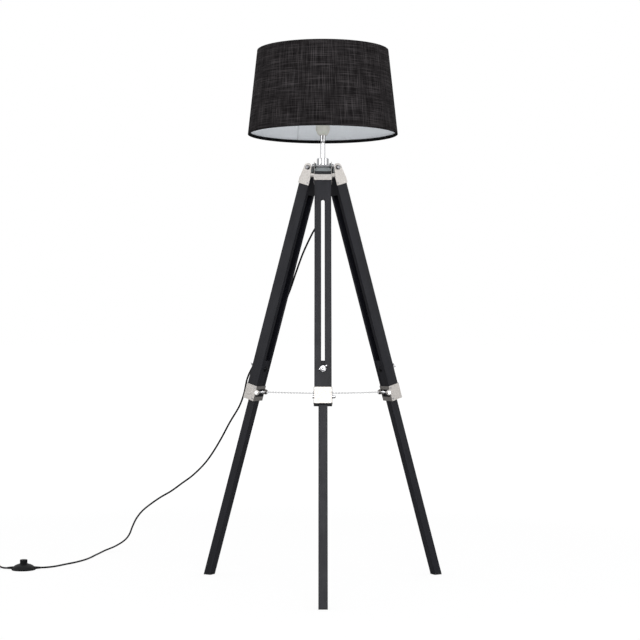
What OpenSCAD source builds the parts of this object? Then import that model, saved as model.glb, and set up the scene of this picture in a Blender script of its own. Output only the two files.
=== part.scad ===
// Tripod floor lamp: three folding, height-adjustable wooden legs, a metal hub,
// a chrome stem, a screw-in bulb under a tapered drum shade, and a supply cord
// with a foot switch and a plug. Millimetres, +Z up.
// The origin is on the floor, straight under the stem's axis.

/* [Tripod] */
// Angle between each spread leg and the vertical
leg_tilt = 16.8; // [16:0.1:17.5]
// Height of the three hinge axes above the floor
hinge_z = 1112; // [1105:1:1120]
// Distance from the lamp's axis to each hinge axis
hinge_r = 33; // [33:1:36]

/* [Upper legs] */
// Width of an upper leg, across the face with the slot
leg_w = 44; // [42:1:46]
// Depth of an upper leg, from outer to inner face
leg_d = 32; // [30:1:33]
// Thickness of the wood left at the outer face, behind the channel
leg_web = 9; // [8:0.5:10]
// Distance along the leg from the hinge to the upper leg's bottom end
leg_end = 650; // [640:1:660]
// Width of the adjusting slot
slot_w = 9; // [8:0.5:10]

/* [Lower legs] */
// Width of a lower leg
lower_w = 23; // [20:0.5:24]
// Thickness of the rubber pad under each foot
pad_t = 3; // [2:0.5:5]

/* [Stem and lampholder] */
// Diameter of the chrome stem
stem_d = 12.7; // [12:0.1:14]
// Height of the stem's flared top above the floor
stem_top_z = 1197; // [1190:1:1200]
// Radius of the bulb's globe
globe_r = 30; // [24:1:32]

/* [Shade] */
// Radius of the shade's bottom edge
shade_bottom_r = 200; // [190:1:210]
// Radius of the shade's top edge
shade_top_r = 175; // [165:1:185]
// Height of the shade's bottom edge above the floor
shade_z = 1199; // [1197:1:1201]
// Height of the shade itself
shade_h = 225; // [205:1:245]

/* [Cord and foot switch] */
// Diameter of the supply cord
cord_d = 5; // [4.6:0.1:5.2]
// Diameter of the foot switch
switch_d = 68; // [66:1:70]

/* [Hidden] */

// Directions that the legs spread in, as angles about +Z
front_az = -90;
right_az = 30;
left_az = 150;
leg_azimuths = [front_az, right_az, left_az];

round_fn = 48;
fine_fn = 32;
eps = 0.01;
gap = 0.3;            // clear space between pieces that move past each other
run_gap = 0.05;       // radial clearance of a shaft in its bore
big = 3000;           // reach of the half-space cutters

lacquer = [0.06, 0.06, 0.065];
chrome = [0.78, 0.78, 0.80];
dark_steel = [0.36, 0.38, 0.40];
white_plastic = [0.93, 0.92, 0.88];
black_plastic = [0.05, 0.05, 0.055];
white_paint = [0.94, 0.94, 0.94];
brass = [0.78, 0.62, 0.30];
opal = [0.97, 0.96, 0.92];
linen = [0.05, 0.05, 0.06];

// Wood: distances along the leg are counted down from the hinge
chamfer = 1.4;
upper_top = 24;
upper_len = leg_end - upper_top;
channel_top = 72;
channel_w = lower_w + 2 * gap;
channel_d = leg_d - leg_web;
slot_top = 99;
slot_end = 566;
lower_top = 536;
lower_d = channel_d - 2 * gap;
lower_x = -leg_d / 2 + gap + lower_d / 2;
lower_len = 700;

// Top bracket
sheet_t = 1.5;
ear_r = 11.5;
ear_top = 26;
band_top = 30;
bracket_end = 46;
hinge_bolt_r = 4;
hinge_head_r = 6;
hinge_head_t = 5;
bracket_x = leg_d / 2 + sheet_t;
bracket_y = leg_w / 2 + sheet_t;

// Low bracket
low_from = leg_end - 42;
window_from = low_from + 9;
window_end = window_from + 21;
cross_s = 624;
cross_x = -leg_d / 2 - 5;
cross_r = 2.5;
cross_head_r = 4.5;
cross_head_t = 3.2;
cross_nut_r = 5;
cross_nut_t = 9;
cheek_r = 7;

// Small wood screws: [distance inwards from the leg's middle, distance along the leg]
screw_places = [[-11, 40], [-11, low_from + 6], [-11, leg_end - 6]];
screw_head_r = 2.2;
screw_head_t = 0.9;
screw_r = 1.2;
screw_len = 7;

// Adjuster
adjust_s = 560;
adjust_r = 3;
adjust_head_r = 8;
adjust_head_t = 3.5;
washer_t = 1.2;
washer_r = 8;
nut_from = leg_d / 2 + gap + washer_t + gap;
nut_hub_r = 5;
nut_hub_t = 7;
wing_reach = 12.5;
wing_rise = 12;
wing_t = 2.2;
wing_tip_r = 3.2;
wing_angle = 28;

// Hub
hub_from = 1098.5;
hub_t = 12.5;
hub_top = hub_from + hub_t;
hub_r = 24;
arm_half = 17.5;
arm_reach = hinge_r + 3;
lug_r = 8;
hub_relief = 2.5;
lug_out = leg_w / 2 - gap;
tube_r = 5;
tube_bore_r = 3.6;
tube_from = 1086;
tube_to = 1205;
nut_af_r = 8.5;
collar_r = 15.7;
collar_top = 1136;
collar_edge = 1.6;
stem_neck_z = stem_top_z - 16;
stem_top_r = 8;
gland_from = 1066;
gland_flange_r = 7.2;

// Lampholder
cap_top = 1222;
holder_r = 19;
holder_wall = 2;
holder_top = 1252;
seat_z = 1239;
seat_r = 25;
seat_t = 3;
ring_in_r = 20;
ring_out_r = 27;
shell_r = 14.2;
shell_wall = 0.6;
bulb_from = 1216;
bulb_cap_r = 13.2;
bulb_cap_top = 1243;
globe_z = bulb_from + 78;

// Shade
wall_t = 1.5;
wire_r = 1.8;
shade_top_z = shade_z + shade_h;
spider_wire_z = shade_z + 4;
spider_ring_r = shade_bottom_r - wall_t - wire_r - 1;
top_wire_z = shade_top_z - 4;
top_wire_ring_r = shade_top_r - wall_t - wire_r;
fitter_in_r = 21;
fitter_out_r = 27.5;
fitter_t = 2;
arm_angles = [90, 210, 330];

// Spreader chains
chain_z = 509;
eye_tip_r = 175;
chain_r = 1.1;
chain_ring_r = 8;

// Foot switch, lying on the floor
switch_at = [-846, 262];
switch_r = switch_d / 2;
switch_h = 17;
switch_wall = 2;
switch_base_t = 2.4;
button_r = 10.5;
button_top = 28.5;
button_from = 9;
button_flange_r = 13;
cord_entry_z = 5.6;

// Cord: its middle line from the gland to the switch, in points chosen by hand
cord_r = cord_d / 2;
lie_z = cord_r + eps;
lamp_cord_points = [
    [0, 0, gland_from], [-0.2, 0.2, 1053], [-3.2, 4.2, 1038], [-7.4, 11.8, 1022.5], [-7.6, 20, 1006],
    [-6.9, 28.8, 990], [-8.3, 38.9, 975], [-15, 48.8, 960], [-28, 58, 940],
    [-53, 71, 888], [-73, 82, 834], [-92, 93, 780], [-126, 114, 700],
    [-160, 139, 636], [-190, 163, 584], [-209, 177, 545], [-219, 188, 502], [-233, 200, 465],
    [-260, 218, 420], [-284, 238, 376], [-308, 257, 336], [-335, 279, 299], [-371, 307, 263],
    [-405, 337, 237], [-438, 367, 212], [-470, 397, 192], [-502, 434, 169], [-534, 480, 142],
    [-558, 528, 113], [-576, 578, 82], [-589, 612, 55], [-606, 632, 34], [-634, 634, 16],
    [-663, 607, 6], [-674, 574, 3], [-681, 536, 2.56], [-693, 460, lie_z], [-714, 398, lie_z],
    [-742, 348, lie_z], [-766, 306, 2.7], [-787, 279, 4], [-805, 265, 5.3],
    [-820, switch_at[1], cord_entry_z]
];
// From the switch to the coil
plug_lead_points = [
    [-872, switch_at[1], cord_entry_z], [-884, 262.5, 5.2],
    [-899, 270, 3.6], [-913, 288, 2.65], [-926, 315, lie_z], [-941, 346, lie_z],
    [-956.5, 376.5, lie_z]
];
// The coil of spare cord lies just behind and left of the switch
coil_at = [-985, 360];
coil_turn_r = 33;
coil_inner_r = 20.5;
coil_outer_r = coil_turn_r + cord_r;
coil_h = 9.4;
coil_edge = 2;
tail_z = 6.9;
tail_x = coil_at[0] - coil_turn_r + cord_r;
plug_at = [tail_x, 316];
plug_w = 34;
plug_len = 34;
plug_t = 13.6;
plug_neck_len = 21;
pin_r = 2;
pin_len = 19;
pin_pitch = 18.6;

// Places its children in a leg's own frame: +X out of the slotted face,
// Y across the leg, -Z down the leg from the hinge.
module leg_frame(az) {
    rotate([0, 0, az]) translate([hinge_r, 0, hinge_z]) rotate([0, -leg_tilt, 0]) children();
}

// A cylinder along X or Y, from one place to another
module rod_x(r, from, to, fn = round_fn) {
    translate([from, 0, 0]) rotate([0, 90, 0]) cylinder(r = r, h = to - from, $fn = fn);
}
module rod_y(r, from, to, fn = round_fn) {
    translate([0, to, 0]) rotate([90, 0, 0]) cylinder(r = r, h = to - from, $fn = fn);
}

module bar_section(depth, width, cut) {
    x = depth / 2;
    y = width / 2;
    polygon([
        [-x + cut, -y], [x - cut, -y], [x, -y + cut], [x, y - cut],
        [x - cut, y], [-x + cut, y], [-x, y - cut], [-x, -y + cut]
    ]);
}

// ---------------------------------------------------------------- legs

module upper_leg(az) {
    color(lacquer) leg_frame(az) difference() {
        translate([0, 0, -leg_end]) linear_extrude(upper_len) bar_section(leg_d, leg_w, chamfer);
        translate([-leg_d / 2 - 1, -channel_w / 2, -leg_end - 1])
            cube([channel_d + 1, channel_w, leg_end - channel_top + 1]);
        slot_cut(-leg_d / 2, leg_d / 2 + 1);
        for (side = [-1, 1], place = screw_places)
            screw_place(place, side) rod_y(screw_r + run_gap, leg_w / 2 - screw_len - 1, leg_w / 2 + 1);
    }
}

module slot_cut(from, to) {
    for (s = [slot_top + slot_w / 2, slot_end - slot_w / 2])
        translate([0, 0, -s]) rod_x(slot_w / 2, from, to);
    translate([from, -slot_w / 2, -slot_end + slot_w / 2])
        cube([to - from, slot_w, slot_end - slot_top - slot_w]);
}

// One screw's place on the +Y or -Y side of a leg
module screw_place(place, side) {
    translate([place[0], 0, -place[1]]) scale_side(side) children();
}
module scale_side(side) {
    if (side > 0) children();
    else mirror([0, 1, 0]) children();
}

module lower_leg_bar(from) {
    translate([lower_x, 0, -from - lower_len]) linear_extrude(lower_len) bar_section(lower_d, lower_w, 1);
}

module lower_leg(az) {
    color(lacquer) difference() {
        leg_frame(az) difference() {
            lower_leg_bar(lower_top);
            translate([0, 0, -adjust_s]) rod_x(adjust_r + run_gap, -leg_d, leg_d);
        }
        translate([-big / 2, -big / 2, pad_t - big]) cube(big);
    }
}

module foot_pad(az) {
    color(black_plastic) intersection() {
        leg_frame(az) lower_leg_bar(lower_top);
        translate([-big / 2, -big / 2, 0]) cube([big, big, pad_t]);
    }
}

// Pressed sheet bracket: a band on the outer face and two ears that taper up to the hinge
module top_bracket(az) {
    color(chrome) leg_frame(az) difference() {
        union() {
            translate([leg_d / 2, -bracket_y, -bracket_end])
                cube([sheet_t, 2 * bracket_y, bracket_end - band_top]);
            for (side = [-1, 1]) scale_side(side) translate([0, bracket_y, 0]) rotate([90, 0, 0])
                linear_extrude(sheet_t) ear_outline();
        }
        rod_y(hinge_bolt_r + run_gap, -bracket_y - 1, bracket_y + 1);
        for (side = [-1, 1]) screw_place(screw_places[0], side)
            rod_y(screw_r + run_gap, leg_w / 2 - 1, bracket_y + 1);
    }
}

module ear_outline() {
    circle(r = ear_r, $fn = round_fn);
    polygon([
        [-leg_d / 2, -bracket_end], [bracket_x, -bracket_end], [bracket_x, -band_top],
        [leg_d / 2, -ear_top], [ear_r, 0], [-ear_r, 0], [-leg_d / 2, -ear_top]
    ]);
}

// Sleeve round the upper leg's bottom end, with a window in its inner face
module low_bracket(az) {
    sleeve_h = leg_end - low_from;
    color(chrome) leg_frame(az) difference() {
        union() {
            translate([0, 0, -leg_end]) linear_extrude(sleeve_h)
                bar_section(2 * bracket_x, 2 * bracket_y, chamfer);
            for (side = [-1, 1]) scale_side(side) cheek();
        }
        translate([0, 0, -leg_end - 1]) linear_extrude(sleeve_h + 2) bar_section(leg_d, leg_w, chamfer);
        translate([-bracket_x - 1, -leg_w / 2 + 3, -window_end])
            cube([sheet_t + 2, leg_w - 6, window_end - window_from]);
        translate([cross_x, 0, -cross_s]) rod_y(cross_r + run_gap, -bracket_y - 1, bracket_y + 1);
        for (side = [-1, 1], n = [1, 2]) screw_place(screw_places[n], side)
            rod_y(screw_r + run_gap, leg_w / 2 - 1, bracket_y + 1);
    }
}

// Rounded cheek that carries the cross bolt just inside the leg
module cheek() {
    translate([cross_x, bracket_y, -cross_s]) rotate([90, 0, 0]) linear_extrude(sheet_t) {
        circle(r = cheek_r, $fn = round_fn);
        translate([0, -cheek_r]) square([cheek_r + 1, 2 * cheek_r]);
    }
}

module screws(az) {
    color(dark_steel) leg_frame(az)
        for (side = [-1, 1], place = screw_places) screw_place(place, side) {
            rod_y(screw_head_r, bracket_y, bracket_y + screw_head_t, fine_fn);
            rod_y(screw_r, leg_w / 2 - screw_len, bracket_y + eps, fine_fn);
        }
}

// Bolt across the low bracket, with its cap nut on the given side
module cross_bolt(az, nut_side) {
    color(chrome) leg_frame(az) translate([cross_x, 0, -cross_s]) scale_side(nut_side) {
        rod_y(cross_r, -bracket_y - eps, bracket_y + 1);
        rod_y(cross_head_r, -bracket_y - cross_head_t, -bracket_y);
        translate([0, bracket_y, 0]) rotate([-90, 0, 0]) rotate_extrude($fn = round_fn) cap_nut_outline();
    }
}

module cap_nut_outline() {
    shoulder = 2.5;
    polygon([
        [0, 0], [cross_nut_r, 0], [cross_nut_r, shoulder], [cross_nut_r - 1, shoulder],
        [cross_nut_r - 1, cross_nut_t - 2], [cross_nut_r - 2.2, cross_nut_t - 0.4], [0, cross_nut_t]
    ]);
}

// Level eye on the cross bolt that holds the spreader chain
module chain_eye(az) {
    bolt_r_pos = hinge_r + cross_s * sin(leg_tilt) + cross_x * cos(leg_tilt);
    bolt_z_pos = hinge_z - cross_s * cos(leg_tilt) + cross_x * sin(leg_tilt);
    color(chrome) rotate([0, 0, az]) difference() {
        union() {
            translate([bolt_r_pos, 0, bolt_z_pos]) rod_y(5.2, -2, 2);
            translate([eye_tip_r, -1.5, bolt_z_pos - 1.5]) cube([bolt_r_pos - eye_tip_r - 2, 3, 3]);
            translate([eye_tip_r, 0, bolt_z_pos]) rod_y(3.6, -1.5, 1.5);
        }
        translate([bolt_r_pos, 0, bolt_z_pos]) rod_y(cross_r + run_gap, -10, 10);
        translate([eye_tip_r, 0, bolt_z_pos]) rod_y(1.6, -10, 10);
    }
}

// Coach bolt through the lower leg and the slot, with the washer under its nut
module adjuster_bolt(az) {
    nut_end = nut_from + wing_rise + 0.5;
    color(chrome) leg_frame(az) translate([0, 0, -adjust_s]) {
        rod_x(adjust_r, -leg_d / 2 + gap - eps, nut_end);
        translate([lower_x - lower_d / 2, 0, 0]) rotate([0, -90, 0])
            rotate_extrude($fn = round_fn) coach_head_outline();
        difference() {
            rod_x(washer_r, leg_d / 2 + gap, leg_d / 2 + gap + washer_t);
            rod_x(adjust_r + run_gap, leg_d / 2, leg_d);
        }
    }
}

module coach_head_outline() {
    polygon([
        [0, 0], [adjust_head_r, 0], [adjust_head_r - 0.6, 1.4], [adjust_head_r - 2.4, 2.6],
        [adjust_head_r - 5, adjust_head_t - 0.2], [0, adjust_head_t]
    ]);
}

module wing_nut(az) {
    color(chrome) leg_frame(az) translate([nut_from, 0, -adjust_s]) difference() {
        union() {
            rod_x(nut_hub_r, 0, nut_hub_t);
            for (turn = [0, 180]) rotate([wing_angle + turn, 0, 0])
                translate([0, 0, -wing_t / 2]) linear_extrude(wing_t) wing_outline();
        }
        rod_x(adjust_r + run_gap, -1, wing_rise + 1);
    }
}

module wing_outline() {
    polygon([
        [0.6, nut_hub_r - 1.4], [0.6, nut_hub_r + 1], [4.2, wing_reach - 1.2],
        [wing_rise - wing_tip_r, wing_reach], [wing_rise - wing_tip_r, wing_reach - 2 * wing_tip_r],
        [nut_hub_t - 1, nut_hub_r - 1.4]
    ]);
    translate([wing_rise - wing_tip_r, wing_reach - wing_tip_r]) circle(r = wing_tip_r, $fn = fine_fn);
}

// ---------------------------------------------------------------- spreader

module chain(az) {
    color(chrome) rotate([0, 0, az]) translate([0, 0, chain_z])
        rod_x(chain_r, chain_ring_r + 2, eye_tip_r - 4, fine_fn);
}

module chain_ring() {
    color(chrome) translate([0, 0, chain_z]) rotate_extrude($fn = round_fn)
        translate([chain_ring_r, 0]) circle(r = 1.4, $fn = fine_fn);
}

// ---------------------------------------------------------------- hub and stem

// Cast hub: a disc with three pairs of lugs, one pair for each hinge
module hub() {
    color(dark_steel) difference() {
        union() {
            translate([0, 0, hub_from]) cylinder(r = hub_r, h = hub_t, $fn = 96);
            for (az = leg_azimuths) rotate([0, 0, az]) {
                translate([0, -arm_half, hub_from]) cube([arm_reach, 2 * arm_half, hub_t]);
                for (side = [-1, 1]) scale_side(side) hub_lug();
            }
        }
        translate([0, 0, hub_from - 1]) cylinder(r = tube_r + run_gap, h = hub_t + 2, $fn = round_fn);
        for (az = leg_azimuths) rotate([0, 0, az]) translate([hinge_r, 0, hinge_z])
            rod_y(hinge_bolt_r + run_gap, -leg_w, leg_w);
        for (az = leg_azimuths) rotate([0, 0, az])
            translate([hinge_r - lug_r - 0.5, -arm_half, hub_top - hub_relief])
                cube([2 * lug_r + 2, 2 * arm_half, 10]);
    }
}

module hub_lug() {
    lug_t = lug_out - arm_half;
    translate([hinge_r, 0, hinge_z]) rod_y(lug_r, arm_half, lug_out);
    translate([hinge_r - 14, arm_half - eps, hub_from]) cube([14 + lug_r - 3, lug_t + eps, hub_t]);
}

module hinge_bolts() {
    from = bracket_y + gap;
    color(chrome) for (az = leg_azimuths) rotate([0, 0, az]) translate([hinge_r, 0, hinge_z]) {
        rod_y(hinge_bolt_r, -from - 1, from + 1);
        for (side = [-1, 1]) scale_side(side) translate([0, from, 0]) rotate([-90, 0, 0])
            rotate_extrude($fn = round_fn) hinge_head_outline();
    }
}

module hinge_head_outline() {
    polygon([
        [0, 0], [hinge_head_r, 0], [hinge_head_r, hinge_head_t - 2.4],
        [hinge_head_r - 0.9, hinge_head_t - 1], [hinge_head_r - 2.6, hinge_head_t - 0.2], [0, hinge_head_t]
    ]);
}

module ring_solid(in_r, out_r, from, to, fn = 96) {
    translate([0, 0, from]) difference() {
        cylinder(r = out_r, h = to - from, $fn = fn);
        translate([0, 0, -1]) cylinder(r = in_r, h = to - from + 2, $fn = fn);
    }
}

module collar() {
    color(chrome) rotate_extrude($fn = 96) polygon([
        [tube_r + run_gap, hub_top], [collar_r, hub_top], [collar_r, collar_top - collar_edge],
        [collar_r - collar_edge, collar_top], [tube_r + run_gap, collar_top]
    ]);
}

module stem() {
    r = stem_d / 2;
    color(chrome) rotate_extrude($fn = 64) polygon([
        [tube_r + run_gap, collar_top], [r, collar_top], [r, stem_neck_z],
        [r + 0.3, stem_neck_z + 6], [r + 0.9, stem_neck_z + 12], [stem_top_r, stem_top_z],
        [tube_r + run_gap, stem_top_z]
    ]);
}

// Hollow threaded tube that clamps gland, hub, collar, stem and lampholder together
module threaded_tube() {
    color(dark_steel) ring_solid(tube_bore_r, tube_r, tube_from, tube_to, round_fn);
}

module lock_nut() {
    washer_h = 1.4;
    nut_h = 5.6;
    color(chrome) {
        ring_solid(tube_r + run_gap, nut_af_r + 1.5, hub_from - washer_h, hub_from, round_fn);
        translate([0, 0, hub_from - washer_h - nut_h]) difference() {
            cylinder(r = nut_af_r, h = nut_h, $fn = 6);
            translate([0, 0, -1]) cylinder(r = tube_r + run_gap, h = nut_h + 2, $fn = round_fn);
        }
    }
}

// Cord grip screwed on the tube's lower end; the cord starts at its mouth
module cord_gland() {
    color(black_plastic) rotate_extrude($fn = round_fn) polygon([
        [0, gland_from], [3.3, gland_from], [6.2, tube_from - 0.5], [gland_flange_r, tube_from],
        [gland_flange_r, tube_from + 4], [tube_r + run_gap, tube_from + 4],
        [tube_r + run_gap, tube_from], [0, tube_from]
    ]);
}

// ---------------------------------------------------------------- lampholder and bulb

module holder_cap() {
    bore = tube_r + run_gap;
    color(white_plastic) rotate_extrude($fn = 96) polygon([
        [bore, stem_top_z], [10, stem_top_z], [12.4, stem_top_z + 1.5], [15, stem_top_z + 5],
        [17, stem_top_z + 10], [holder_r, stem_top_z + 16], [holder_r, cap_top],
        [holder_r - holder_wall, cap_top], [holder_r - holder_wall, stem_top_z + 17],
        [15, stem_top_z + 12], [13, stem_top_z + 7], [10, stem_top_z + 3.4], [bore, stem_top_z + 3]
    ]);
}

module holder_body() {
    color(white_plastic) {
        rotate_extrude($fn = 96) polygon([
            [shell_r + 0.1, cap_top], [holder_r, cap_top], [holder_r, seat_z - seat_t - 2],
            [seat_r, seat_z - seat_t], [seat_r, seat_z], [holder_r, seat_z],
            [holder_r, holder_top], [shell_r + 0.1, holder_top]
        ]);
    }
}

module holder_insert() {
    color(white_plastic) difference() {
        translate([0, 0, tube_to + 1]) cylinder(r = 12.5, h = 6, $fn = round_fn);
        for (x = [-7, 7]) translate([x, 0, tube_to]) cylinder(r = 1.5, h = 9, $fn = fine_fn);
    }
}

module screw_shell() {
    color(brass) ring_solid(shell_r - shell_wall, shell_r, cap_top + 0.5, holder_top - 4, 64);
}

module holder_contact() {
    foot_z = tube_to + 7;
    color(brass) {
        translate([-3, -2.5, foot_z]) cube([6, 5, 1]);
        translate([-1, -2.5, foot_z]) cube([2, 5, bulb_from - foot_z - 0.5]);
    }
}

// Threaded ring that clamps the shade's fitter against the seat
module shade_ring() {
    from = seat_z + fitter_t + gap;
    rib_count = 24;
    rib_r = 0.7;
    color(white_plastic) {
        rotate_extrude($fn = 96) polygon([
            [holder_r + gap, from], [ring_out_r, from], [ring_out_r, from + 5],
            [ring_out_r - 1, from + 6.5], [ring_in_r + 1, from + 6.5], [holder_r + gap, from + 5.8]
        ]);
        for (n = [0:rib_count - 1]) rotate([0, 0, n * 360 / rib_count])
            translate([ring_out_r, 0, from]) cylinder(r = rib_r, h = 4.6, $fn = 16);
    }
}

module bulb_cap() {
    color(chrome) rotate_extrude($fn = 64) polygon([
        [0, bulb_from], [4.6, bulb_from], [5, bulb_from + 1.4], [9.5, bulb_from + 3.6],
        [bulb_cap_r, bulb_from + 7], [bulb_cap_r, bulb_cap_top], [0, bulb_cap_top]
    ]);
}

module bulb_globe() {
    neck_r = 12.6;
    color(opal) rotate_extrude($fn = 96) difference() {
        union() {
            translate([0, globe_z]) circle(r = globe_r, $fn = 96);
            polygon([
                [0, bulb_cap_top], [neck_r, bulb_cap_top], [neck_r + 0.4, holder_top + 1],
                [neck_r + 3, holder_top + 9], [globe_r * sin(48) + 0.8, globe_z - globe_r * cos(48) - 1],
                [globe_r * sin(58), globe_z - globe_r * cos(58)], [0, globe_z]
            ]);
        }
        translate([-2 * globe_r, 0]) square([2 * globe_r, big]);
    }
}

// ---------------------------------------------------------------- shade

module shade_wall() {
    color(linen) rotate_extrude($fn = 128) polygon([
        [shade_bottom_r - wall_t, shade_z], [shade_bottom_r, shade_z],
        [shade_top_r, shade_top_z], [shade_top_r - wall_t, shade_top_z]
    ]);
}

module wire_ring(ring_r, z, r) {
    rotate_extrude($fn = 128) translate([ring_r, z]) circle(r = r, $fn = fine_fn);
}

module shade_top_wire() {
    color(white_paint) wire_ring(top_wire_ring_r - 1, top_wire_z, wire_r);
}

// Bottom wire with three arms that rise to the flat ring on the lampholder
module shade_spider() {
    weld = 1.2;
    drop = seat_z - spider_wire_z;
    run = spider_ring_r - fitter_out_r + weld;
    color(white_paint) {
        wire_ring(spider_ring_r, spider_wire_z, wire_r);
        ring_solid(fitter_in_r, fitter_out_r, seat_z, seat_z + fitter_t);
        for (az = arm_angles) rotate([0, 0, az])
            translate([spider_ring_r, 0, spider_wire_z]) rotate([0, -90 + atan2(drop, run), 0])
                cylinder(r = 1.6, h = sqrt(drop * drop + run * run), $fn = fine_fn);
    }
}

// ---------------------------------------------------------------- cord, switch and plug

// A point on the smooth curve through a list of points: n is a whole index, t runs from 0 to 1
function spline_point(p, n, t) =
    let (last = len(p) - 1, a = p[max(n - 1, 0)], b = p[n], c = p[min(n + 1, last)], d = p[min(n + 2, last)])
    0.5 * (2 * b + (c - a) * t + (2 * a - 5 * b + 4 * c - d) * t * t + (3 * b - 3 * c + d - a) * t * t * t);

function spline(p, steps) = [
    for (n = [0:len(p) - 2], k = [0:steps - 1]) spline_point(p, n, k / steps),
    p[len(p) - 1]
];

function unit(v) = v / norm(v);
function tangent(p, n) = unit(p[min(n + 1, len(p) - 1)] - p[max(n - 1, 0)]);

// A tube along a list of points: one ring of corners at each point, and two flat ends
module swept_tube(points, r, sides = 8) {
    beside = [0.9, -0.2, 0.4];
    rings = len(points);
    corners = [
        for (n = [0:rings - 1])
            let (t = tangent(points, n), u = unit(cross(t, beside)), v = cross(t, u))
            for (k = [0:sides - 1]) points[n] + r * (cos(k * 360 / sides) * u + sin(k * 360 / sides) * v)
    ];
    walls = [
        for (n = [0:rings - 2], k = [0:sides - 1])
            let (a = n * sides + k, b = n * sides + (k + 1) % sides)
            for (face = [[a, b, a + sides], [b, b + sides, a + sides]]) face
    ];
    start = [for (k = [0:sides - 1]) sides - 1 - k];
    end = [for (k = [0:sides - 1]) (rings - 1) * sides + k];
    polyhedron(points = corners, faces = concat(walls, [start], [end]), convexity = 10);
}

module lamp_cord() {
    color(black_plastic) swept_tube(spline(lamp_cord_points, 2), cord_r);
}

// The stretch from the switch to the coil, and the short tail from the coil to the plug
module plug_lead() {
    tail_points = [
        [tail_x, coil_at[1], tail_z], [tail_x, coil_at[1] - 11, tail_z],
        [tail_x, plug_at[1] + plug_neck_len, tail_z]
    ];
    color(black_plastic) {
        swept_tube(spline(plug_lead_points, 2), cord_r);
        swept_tube(tail_points, cord_r);
    }
}

module cord_coil() {
    in_r = coil_inner_r;
    out_r = coil_outer_r;
    color(black_plastic) translate([coil_at[0], coil_at[1], 0]) rotate_extrude($fn = 64) polygon([
        [in_r, coil_edge], [in_r + coil_edge, 0], [out_r - coil_edge, 0], [out_r, coil_edge],
        [out_r, coil_h - 2 * coil_edge], [out_r - 2 * coil_edge, coil_h], [in_r + coil_edge, coil_h],
        [in_r, coil_h - coil_edge]
    ]);
}

module at_switch() {
    translate([switch_at[0], switch_at[1], 0]) children();
}

module switch_base() {
    color(black_plastic) at_switch() ring_solid(1.6, switch_r - switch_wall - 0.3, 0, switch_base_t);
}

// Domed cover: a step at the rim, a round shoulder and a low collar round the button
module switch_cover() {
    r = switch_r;
    bore = button_r + gap;
    color(black_plastic) at_switch() difference() {
        rotate_extrude($fn = 96) polygon([
            [r - switch_wall, 0], [r - 0.6, 0], [r, 1], [r, 3.4], [r - 1.4, 4.6], [r - 4, 8.4],
            [r - 8, 11.6], [r - 13, 14.2], [r - 18, 15.9], [bore + 2.2, switch_h], [bore, switch_h],
            [bore, switch_h - switch_wall], [r - 18, 13.9], [r - 14, 12], [r - 9, 9.2],
            [r - 5.6, 6.6], [r - 3.2, 3.6], [r - switch_wall - 0.1, 2.4]
        ]);
        for (turn = [0, 180]) rotate([0, 0, turn]) translate([0, 0, cord_entry_z])
            rod_x(cord_r + 0.1, r - 12, r + 2, fine_fn);
    }
}

module switch_button() {
    edge = 0.8;
    color(black_plastic) at_switch() rotate_extrude($fn = 64) polygon([
        [0, button_from], [button_flange_r, button_from], [button_flange_r, button_from + 2],
        [button_r, button_from + 2], [button_r, button_top - edge], [button_r - edge, button_top],
        [0, button_top]
    ]);
}

// Flat two-pin plug, lying on the floor with its pins away from the coil
module plug_body() {
    half = plug_w / 2;
    neck = 4.4;
    color(black_plastic) translate([plug_at[0], plug_at[1], 0]) {
        linear_extrude(plug_t) polygon([
            [-half + 4, -plug_len], [half - 4, -plug_len], [half, -plug_len + 5], [half - 1, -plug_len + 14],
            [neck + 3, -2], [neck, 0], [-neck, 0], [-neck - 3, -2], [-half + 1, -plug_len + 14],
            [-half, -plug_len + 5]
        ]);
        translate([0, 0, tail_z]) rotate([-90, 0, 0])
            cylinder(r1 = 4.2, r2 = 3.4, h = plug_neck_len, $fn = round_fn);
    }
}

module plug_pins() {
    color(chrome) translate([plug_at[0], plug_at[1] - plug_len, plug_t / 2])
        for (x = [-pin_pitch / 2, pin_pitch / 2]) translate([x, 0, 0]) rod_y(pin_r, -pin_len, 0, fine_fn);
}

hub();
collar();
threaded_tube();
lock_nut();
cord_gland();
hinge_bolts();
stem();
holder_cap();
holder_body();
holder_insert();
screw_shell();
holder_contact();
shade_ring();
bulb_globe();
bulb_cap();
shade_wall();
shade_top_wire();
shade_spider();
upper_leg(front_az);  // front_upper_leg
top_bracket(front_az);  // front_top_bracket
low_bracket(front_az);  // front_low_bracket
screws(front_az);  // front_screws
cross_bolt(front_az, 1);  // front_cross_bolt
chain_eye(front_az);  // front_chain_eye
lower_leg(front_az);  // front_lower_leg
foot_pad(front_az);  // front_foot_pad
adjuster_bolt(front_az);  // front_adjuster_bolt
wing_nut(front_az);  // front_wing_nut
upper_leg(right_az);  // right_upper_leg
top_bracket(right_az);  // right_top_bracket
low_bracket(right_az);  // right_low_bracket
screws(right_az);  // right_screws
cross_bolt(right_az, 1);  // right_cross_bolt
chain_eye(right_az);  // right_chain_eye
lower_leg(right_az);  // right_lower_leg
foot_pad(right_az);  // right_foot_pad
adjuster_bolt(right_az);  // right_adjuster_bolt
wing_nut(right_az);  // right_wing_nut
upper_leg(left_az);  // left_upper_leg
top_bracket(left_az);  // left_top_bracket
low_bracket(left_az);  // left_low_bracket
screws(left_az);  // left_screws
cross_bolt(left_az, -1);  // left_cross_bolt
chain_eye(left_az);  // left_chain_eye
lower_leg(left_az);  // left_lower_leg
foot_pad(left_az);  // left_foot_pad
adjuster_bolt(left_az);  // left_adjuster_bolt
wing_nut(left_az);  // left_wing_nut
chain(front_az);  // front_chain
chain(right_az);  // right_chain
chain(left_az);  // left_chain
chain_ring();
switch_base();
switch_cover();
switch_button();
lamp_cord();
plug_lead();
cord_coil();
plug_body();
plug_pins();
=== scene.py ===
import math

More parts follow.
